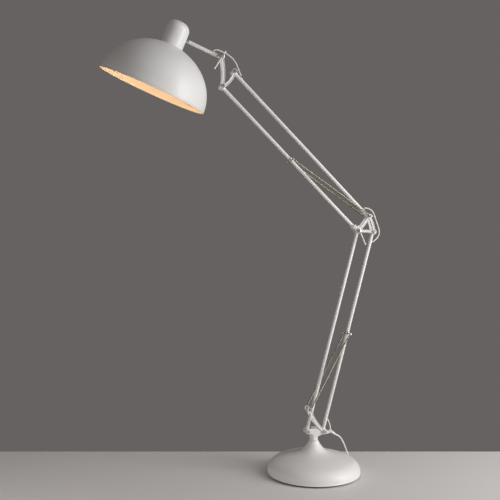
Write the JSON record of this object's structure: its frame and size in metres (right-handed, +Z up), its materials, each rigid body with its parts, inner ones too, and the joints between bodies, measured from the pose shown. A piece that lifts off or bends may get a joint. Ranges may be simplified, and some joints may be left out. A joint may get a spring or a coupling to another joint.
{
  "type": "adjustable arm floor lamp",
  "caption": "Tall floor lamp with a weighted round base, spring-balanced jointed arms, T-bar clamp levers and a tilting dome shade.",
  "frame": {"origin": "centre of the base on the floor", "axes": "+Z up; the arms move in the plane y = 0 and the shade hangs towards -X; -Y is the side with the clamp levers"},
  "size_m": [0.9185, 0.3744, 1.4358],
  "materials": {
    "white_paint": "satin white stoving enamel",
    "shade_paint": "satin white enamel outside, gloss white inside",
    "bracket_paint": "satin white powder coat",
    "zinc_steel": "zinc-plated fasteners",
    "spring_steel": "drawn spring wire, lightly oiled",
    "cast_weight": "rough casting",
    "base_felt": "dense foam rubber pad",
    "nylon": "moulded white nylon",
    "cord_pvc": "round white PVC flex",
    "lampholder": "black moulded lampholder",
    "bulb_glass": "opal glass, warm"
  },
  "bodies": {
    "base": {"base_cover": "white_paint", "base_weight": "cast_weight", "base_plate": "zinc_steel", "base_pad": "base_felt", "stem_pin": "zinc_steel", "swivel_washer": "nylon", "mains_cord": "cord_pvc", "mains_coil": "cord_pvc", "mains_tail": "cord_pvc", "line_switch": "nylon", "mains_plug": "nylon"},
    "switch_key": {"switch_button": "nylon"},
    "bracket": {"swivel_bracket": "bracket_paint", "spring_arm_near": "bracket_paint", "spring_arm_far": "bracket_paint", "front_pivot_bolt": "zinc_steel", "rear_pivot_bolt": "zinc_steel", "cord_clip": "nylon", "base_cord_link": "cord_pvc"},
    "lower_rear": {"lower_rear_tube": "white_paint", "lower_spring_collar": "zinc_steel", "lower_tube_cord": "cord_pvc"},
    "lower_front": {"lower_front_tube": "white_paint"},
    "lower_springs": {"lower_spring_near": "spring_steel", "lower_spring_far": "spring_steel"},
    "lower_hooks": {"lower_hook_near": "spring_steel", "lower_hook_far": "spring_steel"},
    "elbow": {"elbow_cheek_near": "bracket_paint", "elbow_cheek_far": "bracket_paint", "elbow_clamp_bolt": "zinc_steel", "elbow_top_pin": "zinc_steel", "elbow_rear_bolt": "zinc_steel", "elbow_cord_loop": "cord_pvc"},
    "elbow_lever": {"elbow_lever_hub": "zinc_steel", "elbow_lever_bar": "white_paint"},
    "upper_upper": {"upper_upper_tube": "white_paint", "upper_tube_cord": "cord_pvc"},
    "upper_lower": {"upper_lower_tube": "white_paint", "upper_spring_collar": "zinc_steel"},
    "upper_springs": {"upper_spring_near": "spring_steel", "upper_spring_far": "spring_steel"},
    "upper_hooks": {"upper_hook_near": "spring_steel", "upper_hook_far": "spring_steel"},
    "head_bracket": {"head_cheek_near": "bracket_paint", "head_cheek_far": "bracket_paint", "head_low_bolt": "zinc_steel", "head_rear_bolt": "zinc_steel", "head_clamp_bolt": "zinc_steel", "head_cord_loop": "cord_pvc"},
    "head_lever": {"head_lever_hub": "zinc_steel", "head_lever_bar": "white_paint"},
    "shade_arm": {"head_knuckle": "zinc_steel", "shade_arm_tube": "white_paint", "shade_arm_cord": "cord_pvc", "shade_collar": "zinc_steel"},
    "shade": {"shade_dome": "shade_paint", "shade_cap": "shade_paint", "lamp_socket": "lampholder", "bulb": "bulb_glass"}
  },
  "joints": [
    {"name": "base_swivel", "type": "hinge", "parent": "base", "child": "bracket", "pos_m": [0, 0, 0.114], "axis": [0, 0, 1], "range_deg": [-90, 90], "deforming": ["mains_cord"]},
    {"name": "lower_arm_tilt", "type": "hinge", "parent": "bracket", "child": "lower_rear", "pos_m": [0.032, 0, 0.1355], "axis": [0, 1, 0], "range_deg": [-20, 18], "deforming": ["base_cord_link"]},
    {"name": "lower_front_link", "type": "hinge", "parent": "bracket", "child": "lower_front", "pos_m": [-0.023, 0, 0.138], "axis": [0, 1, 0], "range_deg": [-21, 19]},
    {"name": "lower_spring_swing", "type": "hinge", "parent": "bracket", "child": "lower_springs", "pos_m": [-0.017, 0, 0.2086], "axis": [0, 1, 0], "range_deg": [-24, 22]},
    {"name": "lower_spring_stretch", "type": "slide", "parent": "lower_springs", "child": "lower_hooks", "axis": [0.4885, 0, 0.8726], "range_m": [-0.03, 0.03], "deforming": ["lower_spring_near", "lower_spring_far", "lower_hook_near", "lower_hook_far"]},
    {"name": "elbow_level", "type": "hinge", "parent": "lower_rear", "child": "elbow", "pos_m": [0.21, 0, 0.7855], "axis": [0, 1, 0], "range_deg": [-19, 21], "deforming": ["elbow_cord_loop"]},
    {"name": "elbow_lever_turn", "type": "hinge", "parent": "elbow", "child": "elbow_lever", "pos_m": [0.155, 0, 0.788], "axis": [0, 1, 0], "range_deg": [-60, 60]},
    {"name": "upper_arm_tilt", "type": "hinge", "parent": "elbow", "child": "upper_upper", "pos_m": [0.1933, 0, 0.8369], "axis": [0, 1, 0], "range_deg": [-20, 22]},
    {"name": "upper_lower_link", "type": "hinge", "parent": "elbow", "child": "upper_lower", "pos_m": [0.155, 0, 0.788], "axis": [0, 1, 0], "range_deg": [-21, 23]},
    {"name": "upper_spring_swing", "type": "hinge", "parent": "elbow", "child": "upper_springs", "pos_m": [0.1933, 0, 0.8369], "axis": [0, 1, 0], "range_deg": [-21, 23]},
    {"name": "upper_spring_stretch", "type": "slide", "parent": "upper_springs", "child": "upper_hooks", "axis": [-0.8343, 0, 0.5514], "range_m": [-0.03, 0.03], "deforming": ["upper_spring_near", "upper_spring_far", "upper_hook_near", "upper_hook_far"]},
    {"name": "head_level", "type": "hinge", "parent": "upper_upper", "child": "head_bracket", "pos_m": [-0.2667, 0, 1.2875], "axis": [0, 1, 0], "range_deg": [-23, 21], "deforming": ["head_cord_loop"]},
    {"name": "head_lever_turn", "type": "hinge", "parent": "head_bracket", "child": "head_lever", "pos_m": [-0.307, 0, 1.3303], "axis": [0, 1, 0], "range_deg": [-60, 60]},
    {"name": "head_tilt", "type": "hinge", "parent": "head_bracket", "child": "shade_arm", "pos_m": [-0.307, 0, 1.3303], "axis": [0, 1, 0], "range_deg": [-20, 45]},
    {"name": "shade_swivel", "type": "hinge", "parent": "shade_arm", "child": "shade", "pos_m": [-0.307, 0, 1.3303], "axis": [-0.9285, 0, 0.3714], "range_deg": [-25, 30]},
    {"name": "switch_press", "type": "slide", "parent": "base", "child": "switch_key", "axis": [0, 0, -1], "range_m": [0, 0.002], "stiffness_N_per_m": 400}
  ],
  "couplings": [
    {"joint": "lower_front_link", "follows": "lower_arm_tilt", "ratio": 1},
    {"joint": "lower_spring_swing", "follows": "lower_arm_tilt", "ratio": 1.1544},
    {"joint": "lower_spring_stretch", "follows": "lower_arm_tilt", "m_per_rad": 0.0759},
    {"joint": "elbow_level", "follows": "lower_arm_tilt", "ratio": -1},
    {"joint": "upper_lower_link", "follows": "upper_arm_tilt", "ratio": 1},
    {"joint": "upper_spring_swing", "follows": "upper_arm_tilt", "ratio": 0.9911},
    {"joint": "upper_spring_stretch", "follows": "upper_arm_tilt", "m_per_rad": -0.06119},
    {"joint": "head_level", "follows": "upper_arm_tilt", "ratio": -1}
  ]
}
